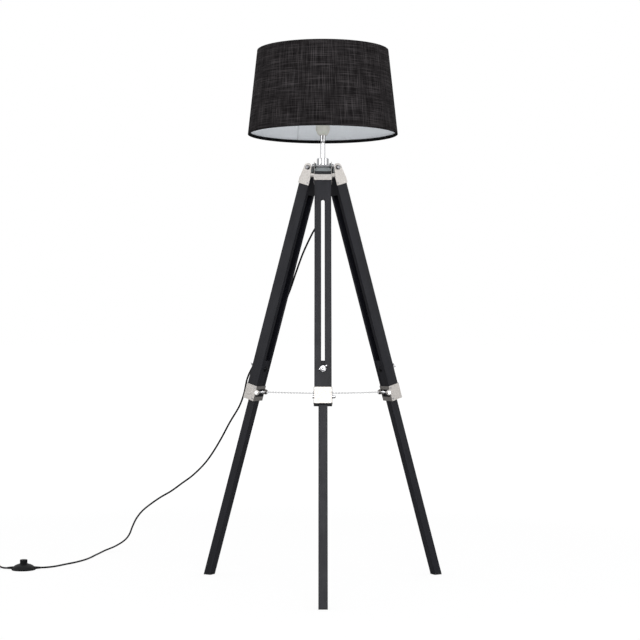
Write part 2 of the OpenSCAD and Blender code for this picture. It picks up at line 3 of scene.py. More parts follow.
import bpy
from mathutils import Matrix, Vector


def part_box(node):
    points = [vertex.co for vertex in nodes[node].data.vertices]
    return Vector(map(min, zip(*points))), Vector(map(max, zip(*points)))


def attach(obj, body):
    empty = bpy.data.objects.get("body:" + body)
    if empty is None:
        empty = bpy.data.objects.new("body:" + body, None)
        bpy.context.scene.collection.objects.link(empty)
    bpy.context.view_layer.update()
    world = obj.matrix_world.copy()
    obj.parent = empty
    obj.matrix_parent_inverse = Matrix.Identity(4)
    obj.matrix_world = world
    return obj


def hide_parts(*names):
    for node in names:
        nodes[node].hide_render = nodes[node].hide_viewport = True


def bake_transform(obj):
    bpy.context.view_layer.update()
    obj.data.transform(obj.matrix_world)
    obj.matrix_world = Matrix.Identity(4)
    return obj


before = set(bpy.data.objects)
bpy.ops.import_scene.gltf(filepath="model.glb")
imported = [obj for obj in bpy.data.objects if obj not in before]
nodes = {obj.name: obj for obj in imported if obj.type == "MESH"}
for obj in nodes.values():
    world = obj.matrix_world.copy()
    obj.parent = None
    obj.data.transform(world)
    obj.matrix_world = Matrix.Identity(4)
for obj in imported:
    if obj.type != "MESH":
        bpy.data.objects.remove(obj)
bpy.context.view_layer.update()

scene = bpy.context.scene

MM = 0.001

# Each leg's direction about +Z, in degrees, and its lean from the vertical
LEG_AZIMUTH = {"front": -90, "right": 30, "left": 150}
LEG_LEAN = 16.8

# ---------------------------------------------------------------- camera

CAMERA_AT = (-0.0075, -4.213, 0.681)
CAMERA_PITCH = 0.326
CAMERA_LENS = 88.875
CAMERA_SENSOR = 36


def make_camera():
    data = bpy.data.cameras.new("camera")
    data.sensor_width = CAMERA_SENSOR
    data.lens = CAMERA_LENS
    data.clip_start = 0.1
    data.clip_end = 200
    camera = bpy.data.objects.new("camera", data)
    camera.location = CAMERA_AT
    camera.rotation_euler = (math.radians(90 + CAMERA_PITCH), 0, 0)
    scene.collection.objects.link(camera)
    scene.camera = camera


# ---------------------------------------------------------------- meshes


def mesh_object(name, points, faces, material, smooth=True):
    mesh = bpy.data.meshes.new(name)
    mesh.from_pydata([tuple(p) for p in points], [], faces)
    mesh.validate()
    mesh.update()
    mesh.materials.append(material)
    mesh.polygons.foreach_set("use_smooth", [smooth] * len(mesh.polygons))
    made = bpy.data.objects.new(name, mesh)
    scene.collection.objects.link(made)
    return made


def place(piece, body, slot, *stands_for):
    """Puts a finished piece on its body and hides the CAD nodes it stands for. The slot argument is not
    used.
    """
    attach(piece, body)
    if stands_for:
        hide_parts(*stands_for)
    return piece


def smooth_line(points, steps):
    """A smooth curve through points, with steps points from each to the next."""
    p = [Vector(q) for q in points]
    last = len(p) - 1
    line = []
    for n in range(last):
        a, b, c, d = p[max(n - 1, 0)], p[n], p[n + 1], p[min(n + 2, last)]
        for k in range(steps):
            t = k / steps
            line.append(
                0.5 * (2 * b + (c - a) * t + (2 * a - 5 * b + 4 * c - d) * t * t
                       + (3 * b - 3 * c + d - a) * t * t * t)
            )
    line.append(p[last])
    return line


def tube_rings(line, radii, sides):
    """Rings of points round a line, with no twist from one to the next."""
    count = len(line)
    ahead = (line[1] - line[0]).normalized()
    side = ahead.orthogonal().normalized()
    points = []
    for n in range(count):
        new_ahead = (line[min(n + 1, count - 1)] - line[max(n - 1, 0)]).normalized()
        side = ahead.rotation_difference(new_ahead) @ side
        ahead = new_ahead
        side = (side - ahead * side.dot(ahead)).normalized()
        up = ahead.cross(side)
        for k in range(sides):
            angle = 2 * math.pi * k / sides
            points.append(line[n] + radii[n] * (math.cos(angle) * side + math.sin(angle) * up))
    return points


def tube(name, line, radius, material, sides=14):
    """A closed round tube along a line. radius is one number, or one for each point."""
    radii = radius if isinstance(radius, list) else [radius] * len(line)
    points = tube_rings(line, radii, sides)
    rings = len(line)
    faces = []
    for n in range(rings - 1):
        for k in range(sides):
            a, b = n * sides + k, n * sides + (k + 1) % sides
            faces.append((a, b, b + sides, a + sides))
    faces.append(tuple(range(sides - 1, -1, -1)))
    faces.append(tuple((rings - 1) * sides + k for k in range(sides)))
    made = mesh_object(name, points, faces, material)
    for face in made.data.polygons[-2:]:
        face.use_smooth = False
    return made


# ---------------------------------------------------------------- materials


class Paint:
    """One procedural material, made node by node. Each method returns the new node's output."""

    def __init__(self, name, **fixed):
        self.material = bpy.data.materials.new(name)
        self.material.use_nodes = True
        self.tree = self.material.node_tree
        self.shader = self.tree.nodes["Principled BSDF"]
        for socket, value in fixed.items():
            self.shader.inputs[socket.replace("_", " ")].default_value = value

    def add(self, kind, **settings):
        node = self.tree.nodes.new("ShaderNode" + kind)
        for key, value in settings.items():
            setattr(node, key, value)
        return node

    def feed(self, socket, value):
        if isinstance(value, bpy.types.NodeSocket):
            self.tree.links.new(value, socket)
        else:
            socket.default_value = value

    def at(self, move=(0, 0, 0), turn=(0, 0, 0), scale=(1, 1, 1), vector=None):
        """The object's own coordinates, moved, turned in degrees and scaled."""
        node = self.add("Mapping")
        self.feed(node.inputs["Vector"], vector or self.add("TexCoord").outputs["Object"])
        node.inputs["Location"].default_value = move
        node.inputs["Rotation"].default_value = [math.radians(x) for x in turn]
        node.inputs["Scale"].default_value = scale
        return node.outputs["Vector"]

    def noise(self, vector, scale, detail=3.0, roughness=0.5, distortion=0.0):
        node = self.add("TexNoise")
        self.feed(node.inputs["Vector"], vector)
        node.inputs["Scale"].default_value = scale
        node.inputs["Detail"].default_value = detail
        node.inputs["Roughness"].default_value = roughness
        node.inputs["Distortion"].default_value = distortion
        return node.outputs["Fac"]

    def band(self, value, low, high, to_low=0.0, to_high=1.0):
        """value from low..high to to_low..to_high, held at the ends."""
        node = self.add("MapRange", clamp=True)
        self.feed(node.inputs["Value"], value)
        ends = {"From Min": low, "From Max": high, "To Min": to_low, "To Max": to_high}
        for key, number in ends.items():
            node.inputs[key].default_value = number
        return node.outputs["Result"]

    def maths(self, operation, a, b=0.0):
        node = self.add("Math", operation=operation)
        self.feed(node.inputs[0], a)
        self.feed(node.inputs[1], b)
        return node.outputs["Value"]

    def blend(self, share, a, b):
        """Colour a at share 0 and b at share 1."""
        node = self.add("Mix", data_type="RGBA")
        self.feed(node.inputs[0], share)
        self.feed(node.inputs[6], a if isinstance(a, bpy.types.NodeSocket) else (*a, 1))
        self.feed(node.inputs[7], b if isinstance(b, bpy.types.NodeSocket) else (*b, 1))
        return node.outputs[2]

    def colour(self, value):
        self.feed(self.shader.inputs["Base Color"], value)

    def rough(self, value):
        self.feed(self.shader.inputs["Roughness"], value)

    def relief(self, height, depth, strength=1.0):
        """Surface relief: height 0..1 over depth in metres."""
        node = self.add("Bump")
        node.inputs["Strength"].default_value = strength
        node.inputs["Distance"].default_value = depth
        self.feed(node.inputs["Height"], height)
        self.tree.links.new(node.outputs["Normal"], self.shader.inputs["Normal"])


def wood(name, azimuth, dark, pale):
    """Satin black lacquer over wood whose grain runs along the leg."""
    p = Paint(name, Specular_IOR_Level=0.30)
    flat = p.at(turn=(0, 0, -azimuth))
    leg = p.at(vector=flat, turn=(0, LEG_LEAN, 0))
    fibres = p.noise(p.at(vector=leg, scale=(1, 1, 0.02)), 900, 4, 0.6)
    figure = p.noise(p.at(vector=leg, scale=(1, 1, 0.08)), 90, 3, 0.55, 0.4)
    cloud = p.noise(leg, 24, 2)
    tone = p.maths("ADD", p.maths("MULTIPLY", fibres, 0.45), p.maths("MULTIPLY", figure, 0.55))
    p.colour(p.blend(p.band(tone, 0.36, 0.66), dark, pale))
    p.rough(p.band(p.maths("ADD", p.maths("MULTIPLY", fibres, 0.5), p.maths("MULTIPLY", cloud, 0.5)),
                   0.3, 0.7, 0.38, 0.52))
    p.relief(tone, 0.00009, 0.8)
    return p.material


def polished_metal(name, colour, low, high):
    """Bright plate with faint handling marks in its gloss."""
    p = Paint(name, Metallic=1.0)
    marks = p.noise(p.at(scale=(1, 1, 0.3)), 180, 4, 0.6)
    p.colour(p.blend(p.band(marks, 0.35, 0.65), colour, [c * 0.93 for c in colour]))
    p.rough(p.band(marks, 0.3, 0.7, low, high))
    p.relief(p.noise(p.at(), 35, 2), 0.00004)
    return p.material


def satin_plate(name, azimuth, pale, dark):
    """Pressed steel sheet with a satin nickel plate: a fine, slightly mottled grain."""
    p = Paint(name, Metallic=1.0)
    leg = p.at(vector=p.at(turn=(0, 0, -azimuth)), turn=(0, LEG_LEAN, 0))
    mottle = p.noise(leg, 420, 3, 0.65)
    grain = p.noise(p.at(vector=leg, scale=(1, 1, 0.25)), 2600, 2, 0.6)
    mix = p.maths("ADD", p.maths("MULTIPLY", mottle, 0.6), p.maths("MULTIPLY", grain, 0.4))
    p.colour(p.blend(p.band(mix, 0.36, 0.64), pale, dark))
    p.rough(p.band(mix, 0.3, 0.7, 0.30, 0.46))
    p.relief(mix, 0.00009, 1.0)
    return p.material


def cast_metal(name, colour):
    p = Paint(name, Metallic=1.0)
    skin = p.noise(p.at(), 900, 5, 0.65)
    cloud = p.noise(p.at(), 70, 2)
    p.colour(p.blend(p.band(cloud, 0.35, 0.65), colour, [c * 0.78 for c in colour]))
    p.rough(p.band(skin, 0.3, 0.7, 0.38, 0.55))
    p.relief(skin, 0.00012, 0.9)
    return p.material


def moulded(name, colour, low, high, grain, depth, **fixed):
    """Plastic or rubber with the fine grain of its mould."""
    p = Paint(name, **fixed)
    skin = p.noise(p.at(), grain, 3, 0.6)
    cloud = p.noise(p.at(), 60, 2)
    p.colour(p.blend(p.band(cloud, 0.35, 0.65), colour, [c * 0.88 for c in colour]))
    p.rough(p.band(skin, 0.3, 0.7, low, high))
    p.relief(skin, depth, 0.8)
    return p.material


WEAVE_PITCH = 0.75 * MM
# Where the shade's seam is: its angle about +Z, and its place along the flat cloth
SEAM_DEG = 110.6
MEAN_SHADE_R = 187.5 * MM
SEAM_ALONG = math.radians(SEAM_DEG) * MEAN_SHADE_R
SEAM_LINE = 1.6 * MM


def linen(name, thread, slub):
    """Plain weave with uneven yarns, slubbed both ways, over the cloth's own flat coordinates."""
    p = Paint(name, Specular_IOR_Level=0.06)
    flat = p.add("UVMap", uv_map="cloth").outputs["UV"]
    upright = p.noise(p.at(vector=flat, scale=(1, 0.016, 1)), 820, 2, 0.55)
    upright_wide = p.noise(p.at(vector=flat, move=(3, 1, 0), scale=(1, 0.03, 1)), 330, 2, 0.5)
    level = p.noise(p.at(vector=flat, move=(7, 2, 0), scale=(0.016, 1, 1)), 820, 2, 0.55)
    level_wide = p.noise(p.at(vector=flat, move=(5, 4, 0), scale=(0.03, 1, 1)), 330, 2, 0.5)
    patch = p.noise(p.at(vector=flat, move=(2, 9, 0), scale=(1, 1.6, 1)), 26, 2, 0.5)
    up = p.maths("ADD", p.band(upright, 0.50, 0.74),
                 p.maths("MULTIPLY", p.band(upright_wide, 0.5, 0.78), 0.45))
    across = p.maths("ADD", p.band(level, 0.50, 0.74),
                     p.maths("MULTIPLY", p.band(level_wide, 0.5, 0.78), 0.45))
    yarn = p.maths("MULTIPLY", p.maths("ADD", up, across), p.band(patch, 0.3, 0.7, 0.55, 1.0))
    p.colour(p.blend(p.band(yarn, 0.0, 1.15), thread, slub))
    p.rough(0.85)
    warp = p.add("TexWave", wave_type="BANDS", bands_direction="X", wave_profile="SIN")
    weft = p.add("TexWave", wave_type="BANDS", bands_direction="Y", wave_profile="SIN")
    for wave in (warp, weft):
        p.feed(wave.inputs["Vector"], flat)
        wave.inputs["Scale"].default_value = math.pi / (10 * WEAVE_PITCH)
        wave.inputs["Distortion"].default_value = 0.6
    cloth = p.maths("MULTIPLY", warp.outputs["Fac"], weft.outputs["Fac"])
    p.relief(p.maths("ADD", p.maths("MULTIPLY", cloth, 0.4), p.maths("MULTIPLY", yarn, 0.6)), 0.00022, 0.8)
    return p.material


def lining_sheet(name, colour):
    """Smooth white laminate with a faint trace of the cloth behind it."""
    p = Paint(name, Specular_IOR_Level=0.3)
    flat = p.add("UVMap", uv_map="cloth").outputs["UV"]
    trace = p.noise(p.at(vector=flat, scale=(1, 0.05, 1)), 500, 2)
    cross = p.noise(p.at(vector=flat, scale=(0.05, 1, 1)), 500, 2)
    mix = p.maths("MULTIPLY", p.maths("ADD", trace, cross), 0.5)
    plain = p.blend(p.band(mix, 0.35, 0.65), colour, [c * 0.96 for c in colour])
    split = p.add("SeparateXYZ")
    p.feed(split.inputs[0], flat)
    off_seam = p.maths("ABSOLUTE", p.maths("SUBTRACT", split.outputs[0], SEAM_ALONG))
    p.colour(p.blend(p.band(off_seam, SEAM_LINE / 2, SEAM_LINE), [c * 0.66 for c in colour], plain))
    p.rough(p.band(mix, 0.3, 0.7, 0.42, 0.52))
    p.relief(mix, 0.00005, 0.7)
    return p.material


def cord_sheath(name):
    p = Paint(name, Specular_IOR_Level=0.2)
    skin = p.noise(p.at(), 1400, 2)
    ripple = p.noise(p.at(), 120, 2)
    p.colour(p.blend(p.band(ripple, 0.35, 0.65), (0.0040, 0.0040, 0.0045), (0.0070, 0.0070, 0.0080)))
    p.rough(p.band(skin, 0.3, 0.7, 0.36, 0.5))
    p.relief(p.maths("ADD", p.maths("MULTIPLY", skin, 0.3), p.maths("MULTIPLY", ripple, 0.7)), 0.00006)
    return p.material


def opal_glass(name):
    p = Paint(name, Roughness=0.12, Subsurface_Weight=0.25, Coat_Weight=0.3, Coat_Roughness=0.05)
    p.shader.inputs["Subsurface Radius"].default_value = (0.012, 0.010, 0.007)
    cloud = p.noise(p.at(), 45, 2)
    p.colour(p.blend(p.band(cloud, 0.3, 0.7), (0.86, 0.84, 0.76), (0.82, 0.79, 0.70)))
    p.rough(p.band(cloud, 0.3, 0.7, 0.1, 0.16))
    return p.material


WOOD_DARK = (0.0052, 0.0054, 0.0085)
WOOD_PALE = (0.0115, 0.0118, 0.0180)
wood_of = {L: wood("black_wood_" + L, a, WOOD_DARK, WOOD_PALE) for L, a in LEG_AZIMUTH.items()}
PLATE_PALE = (0.60, 0.575, 0.55)
PLATE_DARK = (0.36, 0.34, 0.32)
plate_of = {
    L: satin_plate("satin_plate_" + L, a, PLATE_PALE, PLATE_DARK) for L, a in LEG_AZIMUTH.items()
}
chrome = polished_metal("chrome", (0.84, 0.84, 0.85), 0.05, 0.12)
dark_cast = cast_metal("cast_zinc", (0.185, 0.20, 0.205))
dark_screw = polished_metal("zinc_screw", (0.30, 0.30, 0.31), 0.25, 0.4)
white_plastic = moulded("white_plastic", (0.80, 0.77, 0.69), 0.25, 0.36, 900, 0.00002,
                        Subsurface_Weight=0.06)
# Near-black metal for the coach bolt heads: painted shadow, as they sit in the shade of the leg's channel
head_shadow_paint = polished_metal("bolt_head_painted_shadow", (0.020, 0.020, 0.022), 0.35, 0.5)
chain_steel = polished_metal("chain_steel", (0.72, 0.72, 0.73), 0.42, 0.55)
brass = polished_metal("brass", (0.76, 0.58, 0.28), 0.2, 0.35)
opal = opal_glass("opal_glass")
cloth_paint = linen("black_linen", (0.0055, 0.0046, 0.0050), (0.088, 0.080, 0.083))
# The same linen made darker for the hem rolls: painted shade on the rolled edges
hem_shaded_linen = linen("hem_linen_painted_shade", (0.0030, 0.0028, 0.0032), (0.0120, 0.0112, 0.0124))
lining_paint = lining_sheet("white_lining", (0.93, 0.96, 0.99))
white_wire = moulded("white_coat", (0.82, 0.82, 0.82), 0.3, 0.42, 700, 0.00004)
rubber = moulded("rubber", (0.014, 0.014, 0.014), 0.7, 0.85, 1300, 0.00008)
black_plastic = moulded("black_plastic", (0.0045, 0.0045, 0.0050), 0.42, 0.58, 1800, 0.00007,
                        Specular_IOR_Level=0.2)
sheath = cord_sheath("cord_sheath")

# How far from the bolt's head end the painted shadow reaches
HEAD_DEPTH = 4 * MM

NODE_PAINT = {
    "hub": dark_cast, "collar": chrome, "threaded_tube": dark_screw, "lock_nut": chrome,
    "cord_gland": black_plastic, "hinge_bolts": dark_screw, "stem": chrome,
    "holder_cap": white_plastic, "holder_body": white_plastic, "holder_insert": white_plastic,
    "screw_shell": brass, "holder_contact": brass, "shade_ring": white_plastic,
    "bulb_globe": opal, "bulb_cap": chrome, "shade_top_wire": white_wire,
    "shade_spider": white_wire, "chain_ring": chain_steel, "switch_base": black_plastic,
    "switch_cover": black_plastic, "switch_button": black_plastic,
    "plug_body": black_plastic, "plug_pins": chrome,
}
LEG_PAINT = {
    "cross_bolt": chrome, "chain_eye": chrome, "adjuster_bolt": dark_screw, "wing_nut": chrome,
    "foot_pad": rubber, "screws": dark_screw,
}


def paint_head_in_shadow(node, azimuth):
    """A coach bolt's domed head, at the leg's inner side, is painted near-black: painted shadow for the
    shade in the leg's channel. The rest of the bolt is plated.
    """
    lean = math.radians(LEG_LEAN)
    angle = math.radians(azimuth)
    outwards = Vector((math.cos(angle) * math.cos(lean), math.sin(angle) * math.cos(lean), math.sin(lean)))
    reach = [outwards.dot(v.co) for v in node.data.vertices]
    head_end = min(reach) + HEAD_DEPTH
    node.data.materials.append(head_shadow_paint)
    for face in node.data.polygons:
        if outwards.dot(face.center) < head_end:
            face.material_index = 1


def soften_edges(node, width, segments):
    bevel = node.modifiers.new("edges", "BEVEL")
    bevel.width = width
    bevel.segments = segments
    bevel.limit_method = "ANGLE"
    bevel.angle_limit = math.radians(35)


def paint_cad():
    """Gives each CAD node that is shown its material."""
    for name, node in nodes.items():
        leg, _, part = name.partition("_")
        if leg in LEG_AZIMUTH and part in ("upper_leg", "lower_leg"):
            paint = wood_of[leg]
        elif leg in LEG_AZIMUTH and part in ("top_bracket", "low_bracket"):
            paint = plate_of[leg]
        elif leg in LEG_AZIMUTH:
            paint = LEG_PAINT.get(part, chrome)
        else:
            paint = NODE_PAINT.get(name, black_plastic)
        node.data.materials.clear()
        node.data.materials.append(paint)
        if part == "adjuster_bolt":
            paint_head_in_shadow(node, LEG_AZIMUTH[leg])
    soften_edges(nodes["plug_body"], 1.4 * MM, 3)
    soften_edges(nodes["switch_button"], 0.4 * MM, 2)


# ---------------------------------------------------------------- cord

CORD_D = 5 * MM
CORD_R = CORD_D / 2
LIE = 2.51
CORD_STEPS = 6
# The cord's middle line from the gland to the switch, in mm
LAMP_CORD_MM = [
    (0, 0, 1066), (-0.2, 0.2, 1053), (-3.2, 4.2, 1038), (-7.4, 11.8, 1022.5), (-7.6, 20, 1006),
    (-6.9, 28.8, 990), (-8.3, 38.9, 975), (-15, 48.8, 960), (-28, 58, 940),
    (-53, 71, 888), (-73, 82, 834),
    (-92, 93, 780), (-126, 114, 700), (-160, 139, 636), (-190, 163, 584), (-209, 177, 545),
    (-219, 188, 502), (-233, 200, 465), (-260, 218, 420), (-284, 238, 376), (-308, 257, 336),
    (-335, 279, 299), (-371, 307, 263), (-405, 337, 237), (-438, 367, 212), (-470, 397, 192),
    (-502, 434, 169), (-534, 480, 142), (-558, 528, 113), (-576, 578, 82), (-589, 612, 55),
    (-606, 632, 34), (-634, 634, 16), (-663, 607, 6), (-674, 574, 3), (-681, 536, 2.56),
    (-693, 460, LIE), (-714, 398, LIE), (-742, 348, LIE), (-766, 306, 2.7), (-787, 279, 4),
    (-805, 265, 5.3), (-820, 262, 5.6),
]
# From the switch to the coil, in mm
PLUG_LEAD_MM = [
    (-872, 262, 5.6), (-884, 262.5, 5.2), (-899, 270, 3.6), (-913, 288, 2.65),
    (-926, 315, LIE), (-941, 346, LIE),
]
COIL_AT = (-985, 360)
COIL_START_DEG = 30
COIL_END_DEG = 1620
COIL_STEP_DEG = 12
COIL_SHIFT_DEG = 220
# Radius and height of the coil's turns, in mm: three on the floor, then two on top, the last cut short
COIL_TURNS = [(33, LIE), (28, LIE), (23, LIE), (25.5, 6.84), (30.5, 6.84)]
COIL_HUMP = 0.75
# How many times faster than its radius a turn's height changes over
COIL_CLIMB = 2.2
TAIL_Z = 6.9
TAIL_END_Y = 337


def in_metres(points):
    return [Vector(p) * MM for p in points]


def eased(t):
    t = min(max(t, 0.0), 1.0)
    return t * t * (3 - 2 * t)


def coil_point(angle):
    """The cord's middle in the coil, at an angle counted on from its start."""
    on = angle - COIL_START_DEG
    turn = min(int(on // 360), len(COIL_TURNS) - 1)
    r, z = COIL_TURNS[turn]
    late = on - 360 * turn - (360 - COIL_SHIFT_DEG)
    if late > 0 and turn + 1 < len(COIL_TURNS):
        share = late / COIL_SHIFT_DEG
        next_r, next_z = COIL_TURNS[turn + 1]
        r += (next_r - r) * eased(share)
        z += (next_z - z) * eased(share * COIL_CLIMB)
        if turn >= 2:
            z += COIL_HUMP * eased(4 * min(share, 1 - share))
    around = math.radians(angle)
    return (COIL_AT[0] + r * math.cos(around), COIL_AT[1] + r * math.sin(around), z)


def plug_lead_line():
    angles = range(COIL_START_DEG, COIL_END_DEG + 1, COIL_STEP_DEG)
    points = PLUG_LEAD_MM + [coil_point(a) for a in angles]
    tail_x = points[-1][0]
    points += [(tail_x, COIL_AT[1] - 11, TAIL_Z), (tail_x, TAIL_END_Y, TAIL_Z)]
    return smooth_line(in_metres(points), 3)


def walk(line, start, end, step):
    """Points along a line from start to end, step apart."""
    points = []
    gone = 0.0
    wanted = start
    for a, b in zip(line, line[1:]):
        length = (b - a).length
        while wanted <= min(gone + length, end):
            points.append(a.lerp(b, (wanted - gone) / length))
            wanted += step
        gone += length
    return points


RELIEF_LENGTH = 22 * MM
RELIEF_WIDE = 4.1 * MM
RELIEF_NARROW = 2.9 * MM
RELIEF_RIB = 0.45 * MM
RELIEF_STEP = 0.5 * MM
RELIEF_RIB_STEPS = 6


def make_relief(name, line):
    """Tapered, ribbed sleeve round the cord where it enters the switch."""
    points = walk(line, 1 * MM, RELIEF_LENGTH, RELIEF_STEP)
    radii = []
    for n in range(len(points)):
        radius = RELIEF_WIDE + (RELIEF_NARROW - RELIEF_WIDE) * n / (len(points) - 1)
        rib = RELIEF_RIB if n % RELIEF_RIB_STEPS < RELIEF_RIB_STEPS // 2 else 0.0
        radii.append(radius + rib * (1 - n / len(points)))
    place(tube(name, points, radii, black_plastic, 20), "root", "black_plastic")


TIE_DEG = 250
TIE_WIDTH = 7 * MM
TIE_T = 0.8 * MM
TIE_LOW = 0.0
TIE_HIGH = 9.9 * MM
TIE_IN = 19.6 * MM
TIE_OUT = 36.4 * MM
TIE_CORNER = 3.2 * MM


def rounded_loop(x0, x1, y0, y1, corner, steps=5):
    """A closed outline: a box with round corners."""
    loop = []
    centres = [(x1 - corner, y0 + corner, -90), (x1 - corner, y1 - corner, 0),
               (x0 + corner, y1 - corner, 90), (x0 + corner, y0 + corner, 180)]
    for x, y, start in centres:
        for k in range(steps + 1):
            angle = math.radians(start + 90 * k / steps)
            loop.append((x + corner * math.cos(angle), y + corner * math.sin(angle)))
    return loop


def make_tie():
    """Flat strap that holds the coil together, wrapped once round its turns."""
    outer = rounded_loop(TIE_IN - TIE_T, TIE_OUT + TIE_T, TIE_LOW, TIE_HIGH + TIE_T, TIE_CORNER + TIE_T)
    inner = rounded_loop(TIE_IN, TIE_OUT, TIE_LOW + TIE_T, TIE_HIGH, TIE_CORNER)
    count = len(outer)
    angle = math.radians(TIE_DEG)
    out = Vector((math.cos(angle), math.sin(angle), 0))
    side = Vector((-out.y, out.x, 0))
    middle = Vector((COIL_AT[0], COIL_AT[1], 0)) * MM
    points = []
    for edge in (-TIE_WIDTH / 2, TIE_WIDTH / 2):
        for loop in (outer, inner):
            points += [middle + out * r + side * edge + Vector((0, 0, z)) for r, z in loop]
    faces = []
    for k in range(count):
        j = (k + 1) % count
        faces.append((k, 2 * count + k, 2 * count + j, j))
        faces.append((count + k, count + j, 3 * count + j, 3 * count + k))
        faces.append((k, j, count + j, count + k))
        faces.append((2 * count + k, 3 * count + k, 3 * count + j, 2 * count + j))
    place(mesh_object("coil_tie", points, faces, rubber, smooth=False), "root", "black_plastic")


def make_cords():
    lamp_line = smooth_line(in_metres(LAMP_CORD_MM), CORD_STEPS)
    lead_line = plug_lead_line()
    lamp_cord = place(tube("lamp_flex", lamp_line, CORD_R, sheath), "root", "cord_black", "lamp_cord")
    plug_lead = place(tube("plug_flex", lead_line, CORD_R, sheath), "root", "cord_black",
                      "plug_lead", "cord_coil")
    make_relief("switch_relief_in", list(reversed(lamp_line)))
    make_relief("switch_relief_out", lead_line)
    make_tie()


# ---------------------------------------------------------------- shade

SHADE_SEGMENTS = 200
SHADE_ROWS = 26
SEAM_WIDTH = 9 * MM
# The radius that turns the seam's width into an angle
SEAM_R = 190 * MM
SEAM_PROUD = 0.5 * MM
CLOTH_T = 0.5 * MM
LINING_T = 0.7 * MM


def shade_shape():
    """The shade's bottom and top radius and height, from the CAD wall."""
    low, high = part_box("shade_wall")
    bottom_r = (high.x - low.x) / 2
    ring = [v.co for v in nodes["shade_wall"].data.vertices if v.co.z > high.z - 1e-5]
    top_r = max(math.hypot(c.x, c.y) for c in ring)
    return bottom_r, top_r, low.z, high.z


def seam_angles():
    """Angles round the shade, in degrees, with close pairs at the seam's two edges."""
    half = math.degrees(SEAM_WIDTH / 2 / SEAM_R)
    step = 360 / SHADE_SEGMENTS
    angles = [k * step for k in range(SHADE_SEGMENTS) if abs(k * step - SEAM_DEG) > half + 0.5]
    angles += [SEAM_DEG - half - 0.15, SEAM_DEG - half + 0.05, SEAM_DEG]
    angles += [SEAM_DEG + half - 0.3, SEAM_DEG + half]
    return sorted(angles)


def seam_lift(angle):
    """How far the overlap stands proud at an angle: a step at one edge that fades out at the other."""
    half = math.degrees(SEAM_WIDTH / 2 / SEAM_R)
    off = angle - SEAM_DEG
    if off < -half or off >= half:
        return 0.0
    return SEAM_PROUD * (0.9 - 0.5 * (off + half) / (2 * half))


def shade_skin(name, section, seam_side, material):
    """Turns a closed section of (radius, height, seam share) points round the axis.

    The skin's UV map holds the cloth's flat coordinates.
    """
    angles = seam_angles()
    count = len(section)
    points = []
    for angle in angles:
        lift = seam_lift(angle) * seam_side
        c, s = math.cos(math.radians(angle)), math.sin(math.radians(angle))
        for r, z, outer in section:
            radius = r + lift * outer
            points.append((radius * c, radius * s, z))
    faces = []
    columns = len(angles)
    for n in range(columns):
        m = (n + 1) % columns
        for k in range(count):
            j = (k + 1) % count
            faces.append((n * count + k, m * count + k, m * count + j, n * count + j))
    made = mesh_object(name, points, faces, material)
    along = [0.0]
    for (r0, z0, _), (r1, z1, _) in zip(section, section[1:] + section[:1]):
        along.append(along[-1] + math.hypot(r1 - r0, z1 - z0))
    uv = made.data.uv_layers.new(name="cloth")
    for face_at, face in enumerate(made.data.polygons):
        n, k = divmod(face_at, count)
        for loop in face.loop_indices:
            vertex = made.data.loops[loop].vertex_index
            column, row = divmod(vertex, count)
            turn = angles[column] + (360 if column < n else 0)
            v = along[k] if row == k else along[k + 1]
            uv.data[loop].uv = (math.radians(turn) * MEAN_SHADE_R, v)
    return made


# The hem rolled round a wire: depth in from the edge and reach inwards from the outer face, in mm
HEM_ROLL_MM = [
    (0.35, 0.5), (0.1, 1.4), (0.05, 3.2), (0.3, 4.8), (1.0, 6.0), (2.4, 6.8), (4.0, 7.0), (5.6, 6.7),
    (6.9, 5.8), (7.7, 4.4), (8.2, 2.9), (8.6, 2.0),
]


def hem_roll(on_wall, edge_z, up, fold_out):
    """The cloth's edge from the outer face round the wire and back to the lining, seen in section."""
    roll = [(on_wall(d * MM, r * MM), edge_z + up * d * MM, 0.5) for d, r in HEM_ROLL_MM]
    back = [(on_wall(d, fold_out), edge_z + up * d, 0.0) for d in (8.6 * MM, 1.0 * MM)]
    return roll + back


def make_shade():
    bottom_r, top_r, low_z, high_z = shade_shape()
    lean = (top_r - bottom_r) / (high_z - low_z)
    fold_out = CLOTH_T + LINING_T + 0.1 * MM
    fold_in = fold_out + CLOTH_T

    def on_cone(z, inwards=0.0):
        return bottom_r + (z - low_z) * lean - inwards

    rows = SHADE_ROWS
    edge = fold_out / 2
    heights = [low_z + edge + (high_z - low_z - 2 * edge) * k / rows for k in range(rows + 1)]
    outer = [(on_cone(z), z, 1.0) for z in heights]
    inner = [(on_cone(z, CLOTH_T), z, 1.0) for z in reversed(heights)]
    top_roll = hem_roll(lambda z, inwards: on_cone(high_z - z, inwards), high_z, -1, fold_out)
    low_roll = hem_roll(lambda z, inwards: on_cone(low_z + z, inwards), low_z, 1, fold_out)
    section = outer + top_roll + inner + list(reversed(low_roll))
    low_start = len(outer) + len(top_roll) + len(inner)
    rolls = list(range(rows, len(outer) + len(top_roll) - 2)) + list(range(low_start + 1, len(section)))
    cloth = place(shade_skin("shade_cloth", section, 1, cloth_paint), "root", "shade_linen", "shade_wall")
    # Painted shade: the faces of the hem rolls take the darker copy of the linen
    cloth.data.materials.append(hem_shaded_linen)
    for n, face in enumerate(cloth.data.polygons):
        if n % len(section) in rolls:
            face.material_index = 1

    gap = 0.05 * MM
    ends = (low_z + edge + 0.4 * MM, high_z - edge - 0.4 * MM)
    spans = [ends[0] + (ends[1] - ends[0]) * k / rows for k in range(rows + 1)]
    facing = [(on_cone(z, CLOTH_T + gap), z, 0.0) for z in spans]
    inside = [(on_cone(z, CLOTH_T + LINING_T), z, 1.0) for z in reversed(spans)]
    lining = place(shade_skin("shade_lining", facing + inside, -1, lining_paint), "root", "shade_linen")
    return cloth, lining


# ---------------------------------------------------------------- spreader chains

